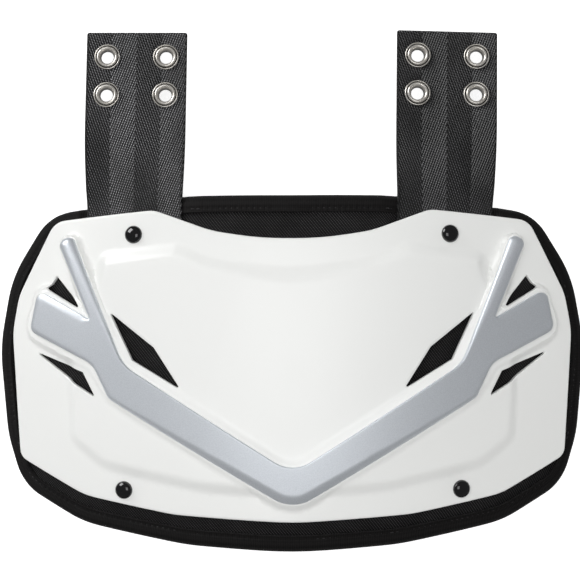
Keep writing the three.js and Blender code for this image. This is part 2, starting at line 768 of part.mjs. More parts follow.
// An eyelet: a barrel through the webbing with a rolled flange on each face
function makeEyelet(name, frame, { w, v }) {
  const outer = EYELET_DIAMETER / 2;
  const hole = EYELET_BORE / 2;
  const upper = CLEARANCE;
  const lower = strapUnder - CLEARANCE;
  const crown = (outer + hole) / 2;
  const profile = [
    { radius: barrel, level: upper },
    { radius: outer, level: upper },
    { radius: crown, level: upper + EYELET_CROWN },
    { radius: hole, level: upper - EYELET_WALL },
    { radius: hole, level: lower - EYELET_WALL },
    { radius: outer - EYELET_WALL, level: lower - EYELET_WALL },
    { radius: outer, level: lower },
    { radius: barrel, level: lower },
    { radius: barrel, level: upper },
  ];
  const mesh = namedMesh(name, solidGeometry(turned(0, 0, profile)), 'eyelet');
  mesh.applyMatrix4(frame.clone().multiply(new THREE.Matrix4().makeTranslation(w, v - turnTo, 0)));
  return mesh;
}

// The tape's lowest stretches lie flat on the floor
const tapeGeometry = makeTape();
tapeGeometry.computeBoundingBox();
const floorLevel = tapeGeometry.boundingBox.min.z + SETTLE;
const tapePoints = tapeGeometry.attributes.position;
for (let i = 0; i < tapePoints.count; i += 1) {
  tapePoints.setZ(i, Math.max(tapePoints.getZ(i), floorLevel));
}

// All the pieces
const plate = new THREE.Group();
plate.add(makeShell(), makeChevron(), makePad(), namedMesh('edge_tape', tapeGeometry, 'tape'));
plate.add(...rivets.map(makeRivet));
for (const side of SIDES) {
  const { frame } = strapRibbon(side);
  plate.add(makeStrap(side));
  eyeletPlaces.forEach((place, i) => {
    plate.add(makeEyelet(`eyelet_${side.name}_${i + 1}`, frame, place));
  });
}

// The origin is under the middle of the whole part, on the surface that it lies on
const box = new THREE.Box3().setFromObject(plate, true);
const middle = box.getCenter(new THREE.Vector3());
plate.position.set(-middle.x, -middle.y, -box.min.z);
const group = new THREE.Group();
group.add(plate);

export default group;
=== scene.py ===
import math

import bpy
import numpy as np
from mathutils import Matrix, Vector
from mathutils.geometry import delaunay_2d_cdt


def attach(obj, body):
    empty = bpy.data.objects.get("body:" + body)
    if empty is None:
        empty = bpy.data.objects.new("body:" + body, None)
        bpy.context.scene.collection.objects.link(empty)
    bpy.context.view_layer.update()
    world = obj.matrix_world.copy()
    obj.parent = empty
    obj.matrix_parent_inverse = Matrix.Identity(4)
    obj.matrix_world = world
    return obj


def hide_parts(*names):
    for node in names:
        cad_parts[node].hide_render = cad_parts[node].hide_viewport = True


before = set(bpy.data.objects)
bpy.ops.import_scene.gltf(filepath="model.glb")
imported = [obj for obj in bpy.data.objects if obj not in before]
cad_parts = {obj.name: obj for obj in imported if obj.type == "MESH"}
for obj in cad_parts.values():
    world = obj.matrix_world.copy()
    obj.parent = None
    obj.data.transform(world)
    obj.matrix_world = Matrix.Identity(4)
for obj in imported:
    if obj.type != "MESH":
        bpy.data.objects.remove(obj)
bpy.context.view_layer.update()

# A football back plate, lying on the edge of its pad with the hard shell up.
# Shapes are drawn on a flat sheet in millimetres: u across, v up, h off the pad's front face.
# The sheet is then bent over the wearer's back, in metres.
MM = 0.001

# Bend of the plate, and where the middle of its sheet lies in the frame
BACK_RADIUS = 260
SPINE_RADIUS = 700
SHEET_PLACE = (0, -42.336, 53.898)

# Shell
SHELL_WIDTH = 300
SHELL_HEIGHT = 158
SHELL_TOP = 2.5
SHELL_WALL = 2.2
SHELL_ROUND = 0.9
VENT_ROUND = 0.35
VENT_CORNER = 0.5
PANEL_RISE = 3
BED_RISE = 4.5
SEAM_BLEND = 1.8
SHELL_EDGE_LINES = (0.12, 0.4, SHELL_ROUND, 1.8)
BED_LINES = (0, 0.5, 1.5, 3, 4.5, 6)
PANEL_LINES = (-0.6, 1.2, 3, 4.8)
VENT_LINE = 1.2 * VENT_ROUND

# Chevron
CHEVRON_UNDER = 7.3
CHEVRON_TOP = 9.9
CHEVRON_EDGE = 0.4
CHEVRON_GLUE = 0.05
CHEVRON_STEP = 1.0
CHEVRON_SPACING = 1.1
CHEVRON_LINES = (0.1, 0.3, 0.6, 1.1, 1.8, 2.6)

# Pad and tape
SIDE_BORDER = 10.8
TOP_BORDER = 6.1
BOTTOM_BORDER = 15.4
PAD_THICKNESS = 12
PAD_RIM_INSET = 1.6
PAD_STEP = 2.5
PAD_LINES = (1.9, 2.6, 3.6, 6, 8.4, 11)
FRONT_WRINKLE = 0.12
BACK_WRINKLE = 0.25
DIMPLE_RINGS = (3.4, 4.6, 6, 7.6, 9.5, 12)
DIMPLE_FLOOR = 4.6
DIMPLE_WIDTH = 9
BACK_HELD = 10
SWELL_ROOM = 1.2
SWELL_PRESSURE = 4
SWELL_FRAMES = 20
SWELL_LIMIT = 3
TAPE_THICKNESS = 0.9
TAPE_RIB = 0.9
TAPE_PICK = 1.7
STITCH_INSET = 6.4
STITCH_SIDES = 8
STITCH_DIP = 0.5
STITCH_VALLEY = 0.9
STITCH_PITCH = 2.9
STITCH_LENGTH = 2.1
THREAD = 0.55

# Straps and their eyelets
STRAP_WIDTH = 51.4
STRAP_THICKNESS = 2.2
STRAP_TAIL = 13
STRAP_LENGTH = 118.5
STRAP_LEAN = math.radians(1)
STRAP_TURN = 48
STRAP_END_SLOPE = math.radians(10)
STRAP_END_TILT = math.radians(3)
STRAP_FLATTENING = 16
STRAP_ROUND = 0.75
STRAP_FOOT_ROUND = 0.6
STRAP_TOP_ROUND = 1.2
STRAP_STEP = 1.6
STRAP_BANDS = 4
RIB_PERIOD = 1.3
RIB_RISE = 2.7
PICK_PERIOD = 1.3
SELVEDGE = 1.3
EYELET_DIAMETER = 13.2
EYELET_BORE = 7
EYELETS_ACROSS = 30
EYELETS_ALONG = 19.8
EYELET_INSET = 13
EYELET_HOLE = 9
EYELET_SIDES = 56
EYELET_RINGS = (5.2, 6.2, 7.2, 8.4)
EYELET_SQUEEZE = 0.3
MESH_PERIOD = 1.5
PRESS_DEPTH = 2.8
PRESS_EDGE = 4
PRESS_ROOM = 1

# Rivets
RIVET_HEAD = 9
RIVET_HEIGHT = 3
RIVET_SHANK = 4
RIVET_HOLE = 4.6
RIVET_TAIL = 8
RIVET_TAIL_HEIGHT = 1.4
RIVET_RIM = 0.45
RIVET_SIDES = 64
TAIL_UNDER = -6.5
CLEARANCE = 0.3
RIVET_PLACES = {"top": (0.535, 0.449), "bottom": (0.572, -0.38)}

# The two sides, with how far each strap's middle lies from its rivet
SIDES = {"left": (-1, -0.029 * STRAP_WIDTH), "right": (1, -0.02 * STRAP_WIDTH)}

# Spacing of the points inside a surface
FINE = 1.3
COARSE = 2.8
TAPE_STEP = 0.6
CHORD = 0.04
BLOCK = 20000

# Outlines of the right half, from the top centre round to the bottom centre.
# across and round are shares of the half width, up is a share of the height.
SHELL_ROWS = [
    {"across": 0.1, "up": 0.428, "round": 1},
    {"across": 0.267, "up": 0.454, "round": 0.4},
    {"across": 0.467, "up": 0.527, "round": 0.1},
    {"across": 0.832, "up": 0.507, "round": 0.07},
    {"across": 0.977, "up": 0.263, "round": 0.2},
    {"across": 1.004, "up": 0.139, "round": 0.267},
    {"across": 0.973, "up": -0.29, "round": 0.047},
    {"across": 0.72, "up": -0.405, "round": 0.267},
    {"across": 0.4, "up": -0.455, "round": 0.533},
    {"across": 0, "up": -0.476, "round": 1.333},
]
# slope is how wide the panel's step is there, in mm
PANEL_ROWS = [
    {"across": 0, "up": 0.329, "round": 0.6, "slope": 9},
    {"across": 0.267, "up": 0.363, "round": 0.333, "slope": 7},
    {"across": 0.38, "up": 0.42, "round": 0.067, "slope": 9},
    {"across": 0.66, "up": 0.397, "round": 0.053, "slope": 9},
    {"across": 0.784, "up": 0, "round": 0.4, "slope": 7},
    {"across": 0.775, "up": -0.228, "round": 0.08, "slope": 8},
    {"across": 0.647, "up": -0.318, "round": 0.133, "slope": 8},
    {"across": 0.307, "up": -0.379, "round": 0.533, "slope": 7},
    {"across": 0, "up": -0.4, "round": 1.333, "slope": 7},
]
# All in mm: slope and fall are the width and depth of the silver's bevel, rim is the white
# land beside it and foot the width of the land's slope. crown is how round the bevel is.
CHEVRON_ROWS = [
    {"across": 0, "up": -0.313, "round": 0.107,
     "slope": 0.5, "fall": 0.25, "crown": 1, "rim": 0.4, "foot": 6},
    {"across": 0.561, "up": 0.027, "round": 0.133,
     "slope": 0.5, "fall": 0.25, "crown": 1, "rim": 0.4, "foot": 6},
    {"across": 0.645, "up": 0.22, "round": 0.3,
     "slope": 2.6, "fall": 1.5, "crown": 1, "rim": 0.4, "foot": 1.8},
    {"across": 0.746, "up": 0.454, "round": 0.025,
     "slope": 4.2, "fall": 3.2, "crown": 1, "rim": 0.4, "foot": 1.4},
    {"across": 0.8, "up": 0.434, "round": 0.033,
     "slope": 4.2, "fall": 3.2, "crown": 1, "rim": 0.6, "foot": 2},
    {"across": 0.672, "up": 0.171, "round": 0.005,
     "slope": 1.4, "fall": 0.9, "crown": 1, "rim": 1.5, "foot": 3},
    {"across": 0.7, "up": 0.1857, "round": 0,
     "slope": 3, "fall": 0.4, "crown": 0.3, "rim": 1, "foot": 3},
    {"across": 0.867, "up": 0.274, "round": 0.027,
     "slope": 3, "fall": 0.7, "crown": 0.4, "rim": 2.2, "foot": 3.7},
    {"across": 0.903, "up": 0.14, "round": 0.033,
     "slope": 2, "fall": 1.5, "crown": 0.6, "rim": 3.2, "foot": 3.7},
    {"across": 0.665, "up": 0.029, "round": 0.08,
     "slope": 1.2, "fall": 1.2, "crown": 0.6, "rim": 3.2, "foot": 3.7},
    {"across": 0.612, "up": -0.081, "round": 0.04,
     "slope": 1.5, "fall": 1.9, "crown": 0.4, "rim": 0.9, "foot": 3.7},
    {"across": 0, "up": -0.43, "round": 0.12,
     "slope": 4, "fall": 2.9, "crown": 0.3, "rim": 0.4, "foot": 3.7},
]
VENTS = {
    "upper": [(0.821, 0.323), (0.717, 0.206), (0.853, 0.284)],
    "inner": [(0.616, 0.2), (0.46, 0.083), (0.375, -0.042), (0.381, -0.045), (0.535, 0.042)],
    "lower": [(0.912, 0.073), (0.713, 0.003), (0.667, -0.08), (0.757, -0.029)],
}
# The pad's own outline: up is a share of its reach above or below the sheet's centre,
# across and round are shares of its half width.
PAD_ROWS = [
    {"across": 0, "up": 1, "round": 5.6},
    {"across": 0.37, "up": 1.007, "round": 1.85},
    {"across": 0.812, "up": 0.942, "round": 0.16},
    {"across": 0.957, "up": 0.587, "round": 0.37},
    {"across": 1.007, "up": 0.157, "round": 0.49},
    {"across": 0.975, "up": -0.383, "round": 0.37},
    {"across": 0.917, "up": -0.678, "round": 0.17},
    {"across": 0.691, "up": -0.87, "round": 0.37},
    {"across": 0.34, "up": -0.966, "round": 0.93},
    {"across": 0, "up": -1, "round": 1.85},
]
SHELL_UPS = [row["up"] * SHELL_HEIGHT for row in SHELL_ROWS]
PAD_HALF_WIDTH = SHELL_WIDTH / 2 + SIDE_BORDER
PAD_ABOVE = max(SHELL_UPS) + TOP_BORDER
PAD_BELOW = BOTTOM_BORDER - min(SHELL_UPS)


# Flat drawing


def scaled(row, half, reach):
    """A corner in mm from its row of shares."""
    return {**row, "x": row["across"] * half, "y": row["up"] * reach, "round": row["round"] * half}


def on_shell(row):
    return scaled(row, SHELL_WIDTH / 2, SHELL_HEIGHT)


def on_pad(row):
    return scaled(row, PAD_HALF_WIDTH, PAD_ABOVE if row["up"] > 0 else PAD_BELOW)


def whole(rows, place):
    """Corners of a whole outline, anticlockwise, from the rows of its right half."""
    right = [place(row) for row in rows]
    left = [{**corner, "x": -corner["x"]} for corner in right if corner["x"] > 0]
    return (right + left[::-1])[::-1]


def unit(vectors):
    return vectors / np.linalg.norm(vectors, axis=-1, keepdims=True)


def corner_arcs(corners, inset=0.0):
    """The rounding of each corner, as points, on an outline set in by inset."""
    drawn = np.array([(corner["x"], corner["y"]) for corner in corners], float)
    along = unit(np.roll(drawn, -1, axis=0) - drawn)
    before = np.roll(along, 1, axis=0)
    normal = np.stack([-before[:, 1] - along[:, 1], before[:, 0] + along[:, 0]], axis=1)
    moved = drawn + normal * (inset / (1 + (before * along).sum(axis=1)))[:, None]
    room = np.linalg.norm(np.roll(moved, -1, axis=0) - moved, axis=1) / 2
    arcs = []
    for i, corner in enumerate(corners):
        cross = before[i][0] * along[i][1] - before[i][1] * along[i][0]
        turn = math.atan2(cross, before[i] @ along[i])
        if corner["round"] == 0 or abs(turn) < 1e-6:
            arcs.append(np.array([moved[i]]))
            continue
        widest = math.sqrt(8 * CHORD / max(corner["round"], 1))
        sides = max(2, 2 * math.ceil(abs(turn) / widest / 2))
        reach = math.tan(abs(turn) / 2)
        wanted = max(corner["round"] - inset * math.copysign(1, turn), 0.2)
        radius = min(wanted, 0.96 * min(room[i], room[i - 1]) / reach)
        start = moved[i] - before[i] * radius * reach
        inward = np.array([-before[i][1], before[i][0]]) * math.copysign(1, turn)
        centre = start + inward * radius
        angles = turn * np.arange(sides + 1) / sides
        arm = start - centre
        arcs.append(centre + np.stack([
            arm[0] * np.cos(angles) - arm[1] * np.sin(angles),
            arm[0] * np.sin(angles) + arm[1] * np.cos(angles)], axis=1))
    return arcs


def outline(corners, inset=0.0, step=2.0, counts=None):
    """Points round an outline, at most step apart, and how many go in each straight."""
    arcs = corner_arcs(corners, inset)
    if counts is None:
        ends = [np.linalg.norm(arcs[(i + 1) % len(arcs)][0] - arc[-1]) for i, arc in enumerate(arcs)]
        counts = [max(1, math.ceil(end / step)) for end in ends]
    points = []
    for i, arc in enumerate(arcs):
        follow = arcs[(i + 1) % len(arcs)][0]
        shares = np.arange(1, counts[i])[:, None] / counts[i]
        points += [arc, arc[-1] + (follow - arc[-1]) * shares]
    return np.concatenate(points), counts


def edge_lines(corners, columns):
    """Each edge of an outline as a line from the middle of one rounding to the next, with columns."""
    arcs = corner_arcs(corners)
    lines = []
    for i, arc in enumerate(arcs):
        follow = arcs[(i + 1) % len(arcs)]
        first = arc[len(arc) // 2:]
        second = follow[:len(follow) // 2 + 1]
        here = np.array([corners[i][name] for name in columns], float)
        there = np.array([corners[(i + 1) % len(corners)][name] for name in columns], float)
        values = np.concatenate([np.tile(here, (len(first), 1)), np.tile(there, (len(second), 1))])
        lines.append((np.concatenate([first, second]), values))
    return lines


def to_line(points, line, values=None):
    """Distance of each point to an open line, and the values of the line at its nearest place."""
    start, arm = line[:-1], line[1:] - line[:-1]
    length = np.maximum((arm ** 2).sum(axis=1), 1e-12)
    distances, nearest = [], []
    for low in range(0, len(points), BLOCK):
        off = points[low:low + BLOCK, None, :] - start[None]
        share = np.clip((off * arm).sum(axis=2) / length, 0, 1)
        gap = np.linalg.norm(off - share[..., None] * arm, axis=2)
        best = gap.argmin(axis=1)
        rows = np.arange(len(best))
        distances.append(gap[rows, best])
        if values is not None:
            part = share[rows, best][:, None]
            nearest.append(values[best] * (1 - part) + values[best + 1] * part)
    return np.concatenate(distances), np.concatenate(nearest) if nearest else None


def closed(loop):
    return np.concatenate([loop, loop[:1]])


def inside(points, loop):
    """Whether each point lies inside a loop."""
    x, y = points[:, 0], points[:, 1]
    within = np.zeros(len(points), bool)
    for (x0, y0), (x1, y1) in zip(loop, np.roll(loop, -1, axis=0)):
        if y0 == y1:
            continue
        crosses = (y0 > y) != (y1 > y)
        within ^= crosses & (x < (x1 - x0) * (y - y0) / (y1 - y0) + x0)
    return within


def smooth(share):
    share = np.clip(share, 0, 1)
    return share * share * (3 - 2 * share)


def circle(u, v, radius, count):
    angles = 2 * np.pi * np.arange(count) / count
    return np.stack([u + radius * np.cos(angles), v + radius * np.sin(angles)], axis=1)


# Bending


def bend_mm(u, v, h):
    """The bent place of a point of the flat sheet, in mm."""
    across = u / BACK_RADIUS
    x = (BACK_RADIUS + h) * np.sin(across)
    lift = (BACK_RADIUS + h) * np.cos(across) - BACK_RADIUS
    along = v / SPINE_RADIUS
    y = (SPINE_RADIUS + lift) * np.sin(along)
    z = (SPINE_RADIUS + lift) * np.cos(along) - SPINE_RADIUS
    return np.stack([x, y, z], axis=-1)


def in_frame(points):
    """Metres of the shared frame from millimetres of the bent sheet."""
    return (np.asarray(points) + SHEET_PLACE) * MM


def bend(u, v, h):
    return in_frame(bend_mm(u, v, h))


def frame_at(u, v, h):
    """Axes of the sheet at one of its points, for a rigid piece, in mm."""
    step = 0.01
    origin = Vector(bend_mm(u, v, h))
    right = (Vector(bend_mm(u + step, v, h)) - origin).normalized()
    out = (Vector(bend_mm(u, v, h + step)) - origin).normalized()
    up = out.cross(right).normalized()
    axes = Matrix((right, up, out)).transposed().to_4x4()
    return Matrix.Translation(origin) @ axes


def rigid(matrix):
    """A place function for a piece that is drawn about a frame of the sheet."""
    def place(x, y, z):
        painted_band_sheen = np.stack([x, y, z], axis=-1) @ np.array(matrix.to_3x3()).T
        return in_frame(painted_band_sheen + np.array(matrix.translation))
    return place


# Meshes


def make_object(name, points, faces, material, sheet=None, sharp=40):
    mesh = bpy.data.meshes.new(name)
    mesh.from_pydata(np.asarray(points).tolist(), [], [tuple(map(int, face)) for face in faces])
    mesh.update()
    if sheet is not None:
        layer = mesh.uv_layers.new(name="sheet")
        corners = np.zeros(len(mesh.loops), int)
        mesh.loops.foreach_get("vertex_index", corners)
        layer.data.foreach_set("uv", np.asarray(sheet, float)[corners].ravel())
    mesh.shade_smooth()
    mesh.set_sharp_from_angle(angle=math.radians(sharp))
    mesh.materials.append(material)
    piece = bpy.data.objects.new(name, mesh)
    bpy.context.scene.collection.objects.link(piece)
    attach(piece, "root")
    return piece


def grid_points(loop, spacing):
    """A field of points in even rows over a loop's box, each row shifted half a step."""
    low, high = loop.min(axis=0), loop.max(axis=0)
    rows = np.arange(low[1], high[1], spacing * math.sqrt(3) / 2)
    field = []
    for i, v in enumerate(rows):
        us = np.arange(low[0] + spacing / 2 * (i % 2), high[0], spacing)
        field.append(np.stack([us, np.full(len(us), v)], axis=1))
    return np.concatenate(field)


def surface(outer, holes, lines, spacing, closer=()):
    """Triangles over the inside of outer and outside the holes, with points along the lines."""
    loops = [outer, *holes, *lines]
    field = grid_points(outer, spacing)
    gap = np.min([to_line(field, closed(loop))[0] for loop in loops], axis=0)
    field = field[(gap > spacing * 0.5) & inside(field, outer)]
    points, edges = [], []
    for loop in loops:
        first = len(points)
        points += loop.tolist()
        count = len(loop)
        edges += [(first + i, first + (i + 1) % count) for i in range(count)]
    points += field.tolist() + [list(point) for point in closer]
    made = delaunay_2d_cdt([Vector(point) for point in points], edges, [], 0, 1e-5)
    flat = np.array([tuple(point) for point in made[0]])
    triangles = np.array([face for face in made[2] if len(face) == 3])
    centres = flat[triangles].mean(axis=1)
    keep = inside(centres, outer)
    for hole in holes:
        keep &= ~inside(centres, hole)
    triangles = triangles[keep]
    used, numbers = np.unique(triangles, return_inverse=True)
    flat, triangles = flat[used], numbers.reshape(-1, 3)
    a, b, c = (flat[triangles[:, k]] for k in range(3))
    turn = (b[:, 0] - a[:, 0]) * (c[:, 1] - a[:, 1]) - (b[:, 1] - a[:, 1]) * (c[:, 0] - a[:, 0])
    triangles[turn < 0] = triangles[turn < 0][:, ::-1]
    return flat, triangles


def plate(flat, triangles, top, under):
    """Points and faces of a closed body between two heights over a flat surface."""
    count = len(flat)
    points = np.concatenate([np.column_stack([flat, top]), np.column_stack([flat, under])])
    directed = {(a, b) for face in triangles.tolist() for a, b in zip(face, face[1:] + face[:1])}
    rim = [(a, b) for a, b in directed if (b, a) not in directed]
    walls = [(a + count, b + count, b, a) for a, b in sorted(rim)]
    faces = triangles.tolist() + (triangles[:, ::-1] + count).tolist() + walls
    return points, faces


def lathe(profile, sides):
    """A turned body, from points of a closed section or of one that ends on the axis."""
    angles = 2 * np.pi * np.arange(sides) / sides
    ring_of, points = [], []
    for radius, level in profile:
        if radius == 0:
            ring_of.append([len(points)] * sides)
            points.append((0, 0, level))
            continue
        ring_of.append(list(range(len(points), len(points) + sides)))
        points += [(radius * math.cos(a), radius * math.sin(a), level) for a in angles]
    shut = profile[0][0] != 0
    faces = []
    count = len(profile)
    for k in range(count if shut else count - 1):
        low, high = ring_of[k], ring_of[(k + 1) % count]
        for i in range(sides):
            j = (i + 1) % sides
            face = [low[i], low[j], high[j], high[i]]
            corners = list(dict.fromkeys(face))
            if len(corners) > 2:
                faces.append(corners)
    return np.array(points, float), faces


# Materials


def principled(name, colour, roughness, metallic=0.0, **sockets):
    """A material with its shader, ready for more nodes."""
    material = bpy.data.materials.new(name)
    material.use_nodes = True
    nodes, links = material.node_tree.nodes, material.node_tree.links
    shader = nodes["Principled BSDF"]
    shader.inputs["Base Color"].default_value = (*colour, 1)
    shader.inputs["Roughness"].default_value = roughness
    shader.inputs["Metallic"].default_value = metallic
    for socket, value in sockets.items():
        shader.inputs[socket.replace("_", " ")].default_value = value
    return material, nodes, links, shader


def math_node(nodes, links, operation, *values):
    node = nodes.new("ShaderNodeMath")
    node.operation = operation
    for i, value in enumerate(values):
        if isinstance(value, (int, float)):
            node.inputs[i].default_value = value
        else:
            links.new(value, node.inputs[i])
    return node.outputs[0]


def noise(nodes, links, scale, detail, stretch=None):
    place = nodes.new("ShaderNodeTexCoord").outputs["Object"]
    if stretch:
        mapping = nodes.new("ShaderNodeMapping")
        mapping.inputs["Scale"].default_value = stretch
        links.new(place, mapping.inputs["Vector"])
        place = mapping.outputs["Vector"]
    node = nodes.new("ShaderNodeTexNoise")
    node.inputs["Scale"].default_value = scale
    node.inputs["Detail"].default_value = detail
    links.new(place, node.inputs["Vector"])
    return node.outputs["Fac"]


def ramp(nodes, links, factor, *stops):
    node = nodes.new("ShaderNodeValToRGB")
    elements = node.color_ramp.elements
    elements[0].position = stops[0][0]
    elements[1].position = stops[-1][0]
    for place, _ in stops[1:-1]:
        elements.new(place)
    for element, (_, colour) in zip(elements, stops):
        element.color = (*colour, 1)
    links.new(factor, node.inputs["Fac"])
    return node.outputs["Color"]


def bump(nodes, links, shader, height, distance, strength, before=None):
    node = nodes.new("ShaderNodeBump")
    node.inputs["Strength"].default_value = strength
    node.inputs["Distance"].default_value = distance
    links.new(height, node.inputs["Height"])
    if before is not None:
        links.new(before, node.inputs["Normal"])
    links.new(node.outputs["Normal"], shader.inputs["Normal"])
    return node.outputs["Normal"]


def sheet_axes(nodes, links):
    """The place on the flat sheet in millimetres."""
    layer = nodes.new("ShaderNodeUVMap")
    layer.uv_map = "sheet"
    split = nodes.new("ShaderNodeSeparateXYZ")
    links.new(layer.outputs["UV"], split.inputs[0])
    return split.outputs["X"], split.outputs["Y"]


def wave(nodes, links, value, period):
    """A sine of a length in millimetres."""
    turn = math_node(nodes, links, "MULTIPLY", value, 2 * math.pi / period)
    return math_node(nodes, links, "SINE", turn)


def times(nodes, links, colour, shade):
    """A colour made darker by a shade."""
    node = nodes.new("ShaderNodeMixRGB")
    node.blend_type = "MULTIPLY"
    node.inputs["Fac"].default_value = 1
    links.new(colour, node.inputs["Color1"])
    links.new(shade, node.inputs["Color2"])
    return node.outputs["Color"]


def white_plastic():
    material, nodes, links, shader = principled(
        "white_plastic", (0.80, 0.815, 0.81), 0.3, Specular_IOR_Level=0.45)
    tone = noise(nodes, links, 9, 1)
    colour = ramp(nodes, links, tone, (0.2, (0.822, 0.828, 0.812)), (0.8, (0.828, 0.833, 0.817)))
    links.new(colour, shader.inputs["Base Color"])
    wear = noise(nodes, links, 60, 2)
    gloss = ramp(nodes, links, wear, (0.2, (0.29,) * 3), (0.8, (0.32,) * 3))
    links.new(gloss, shader.inputs["Roughness"])
    peel = bump(nodes, links, shader, noise(nodes, links, 420, 2), 0.00002, 0.4)
    scratches = noise(nodes, links, 260, 2, stretch=(0.06, 1, 1))
    bump(nodes, links, shader, scratches, 0.00001, 0.3, peel)
    return material


def silver_paint():
    material, nodes, links, shader = principled("silver_paint", (0.66, 0.69, 0.73), 0.42, 0.62)
    flake = noise(nodes, links, 2400, 1)
    colour = ramp(nodes, links, flake, (0.35, (0.67, 0.705, 0.75)), (0.65, (0.745, 0.78, 0.825)))
    links.new(colour, shader.inputs["Base Color"])
    bump(nodes, links, shader, noise(nodes, links, 1500, 2), 0.00002, 0.4)
    return material


def pad_fabric():
    material, nodes, links, shader = principled(
        "pad_fabric", (0.010, 0.010, 0.010), 0.8, Sheen_Weight=0.03, Sheen_Roughness=0.4,
        Specular_IOR_Level=0.2)
    u, v = sheet_axes(nodes, links)
    rib = wave(nodes, links, math_node(nodes, links, "MULTIPLY_ADD", v, 0.8, u), MESH_PERIOD)
    cross = wave(nodes, links, math_node(nodes, links, "MULTIPLY_ADD", v, -1.25, u), MESH_PERIOD)
    weft = math_node(nodes, links, "MULTIPLY_ADD", cross, 0.4, 0.6)
    weave = math_node(nodes, links, "MULTIPLY", rib, weft)
    level = math_node(nodes, links, "MULTIPLY_ADD", weave, 0.45, 0.5)
    colour = ramp(nodes, links, level, (0.3, (0.002, 0.002, 0.002)), (0.6, (0.009, 0.0085, 0.009)),
                  (0.95, (0.085, 0.082, 0.085)))
    wear_and_sheen = ramp(nodes, links, noise(nodes, links, 70, 4), (0.3, (0.6,) * 3), (0.7, (1.0,) * 3))
    links.new(times(nodes, links, colour, wear_and_sheen), shader.inputs["Base Color"])
    bump(nodes, links, shader, level, 0.0004, 0.7)
    return material


def tape_fabric():
    material, nodes, links, shader = principled(
        "tape_fabric", (0.008, 0.0075, 0.0075), 0.75, Sheen_Weight=0.03, Sheen_Roughness=0.4,
        Specular_IOR_Level=0.2)
    along, across = sheet_axes(nodes, links)
    rib = wave(nodes, links, along, TAPE_RIB)
    edge = wave(nodes, links, across, TAPE_PICK)
    weave = math_node(nodes, links, "MULTIPLY_ADD", edge, 0.4, rib)
    level = math_node(nodes, links, "MULTIPLY_ADD", weave, 0.34, 0.5)
    colour = ramp(nodes, links, level, (0.1, (0.002, 0.002, 0.002)), (0.9, (0.010, 0.009, 0.009)))
    links.new(colour, shader.inputs["Base Color"])
    bump(nodes, links, shader, level, 0.0003, 0.5)
    return material


def part_x(nodes, links):
    """The place along the part's X axis."""
    place = nodes.new("ShaderNodeTexCoord")
    parts = nodes.new("ShaderNodeSeparateXYZ")
    links.new(place.outputs["Object"], parts.inputs[0])
    return parts.outputs[0]


def webbing():
    """Herringbone webbing: four bands of steep ribs that lean in turn."""
    material, nodes, links, shader = principled(
        "webbing", (0.02, 0.02, 0.021), 0.33, Sheen_Weight=0.02, Sheen_Roughness=0.4,
        Specular_IOR_Level=0.5)
    across, along = sheet_axes(nodes, links)
    place = math_node(nodes, links, "MULTIPLY_ADD", across, STRAP_BANDS / STRAP_WIDTH, STRAP_BANDS / 2)
    band = math_node(nodes, links, "FLOOR", place)
    odd = math_node(nodes, links, "FLOORED_MODULO", band, 2)
    lean = math_node(nodes, links, "MULTIPLY_ADD", odd, -2, 1)
    climb = math_node(nodes, links, "MULTIPLY", along, lean)
    diagonal = math_node(nodes, links, "MULTIPLY_ADD", climb, 1 / RIB_RISE, across)
    rib = wave(nodes, links, diagonal, RIB_PERIOD)
    drift = math_node(nodes, links, "MULTIPLY_ADD", across, 0.25, along)
    pick = wave(nodes, links, drift, PICK_PERIOD)
    weave = math_node(nodes, links, "MULTIPLY_ADD", pick, 0.3, rib)
    level = math_node(nodes, links, "MULTIPLY_ADD", weave, 0.34, 0.5)
    # Painted highlight: the rib crests are painted up to near white, standing in for the glints of the
    # glossy threads.
    colour = ramp(nodes, links, level, (0.3, (0.001, 0.001, 0.001)), (0.55, (0.012, 0.012, 0.013)),
                  (0.77, (0.06, 0.06, 0.064)), (0.93, (0.52, 0.52, 0.54)))
    # Painted sheen: every other band, whose ribs lean the other way, is painted darker, standing in for
    # the sheen that changes with the ribs' lean.
    painted_band_sheen = ramp(nodes, links, odd, (0, (0.6,) * 3), (1, (1,) * 3))
    colour = times(nodes, links, colour, painted_band_sheen)
    # Painted sheen: broad stretched noise darkens the webbing in patches, standing in for its uneven
    # haze of sheen.
    wear_and_sheen = ramp(nodes, links, noise(nodes, links, 26, 2, stretch=(1.6, 0.7, 1)),
                (0.35, (0.35,) * 3), (0.65, (1.0,) * 3))
    colour = times(nodes, links, colour, wear_and_sheen)
    # Painted shade: the right strap, on the side away from the key light, is painted 40% darker than
    # the left one.
    right = math_node(nodes, links, "GREATER_THAN", part_x(nodes, links), 0)
    right_strap_shade = ramp(nodes, links, right, (0, (1,) * 3), (1, (0.6,) * 3))
    colour = times(nodes, links, colour, right_strap_shade)
    # Painted shade: the outer SELVEDGE mm along each edge is darkened, both for the shade on the
    # strap's rounded edges and for its denser selvedge.
    reach = math_node(nodes, links, "ABSOLUTE", across)
    inner = math_node(nodes, links, "LESS_THAN", reach, STRAP_WIDTH / 2 - SELVEDGE)
    shade = math_node(nodes, links, "MULTIPLY_ADD", inner, 0.75, 0.25)
    links.new(times(nodes, links, colour, shade), shader.inputs["Base Color"])
    bump(nodes, links, shader, level, 0.0006, 0.9)
    return material


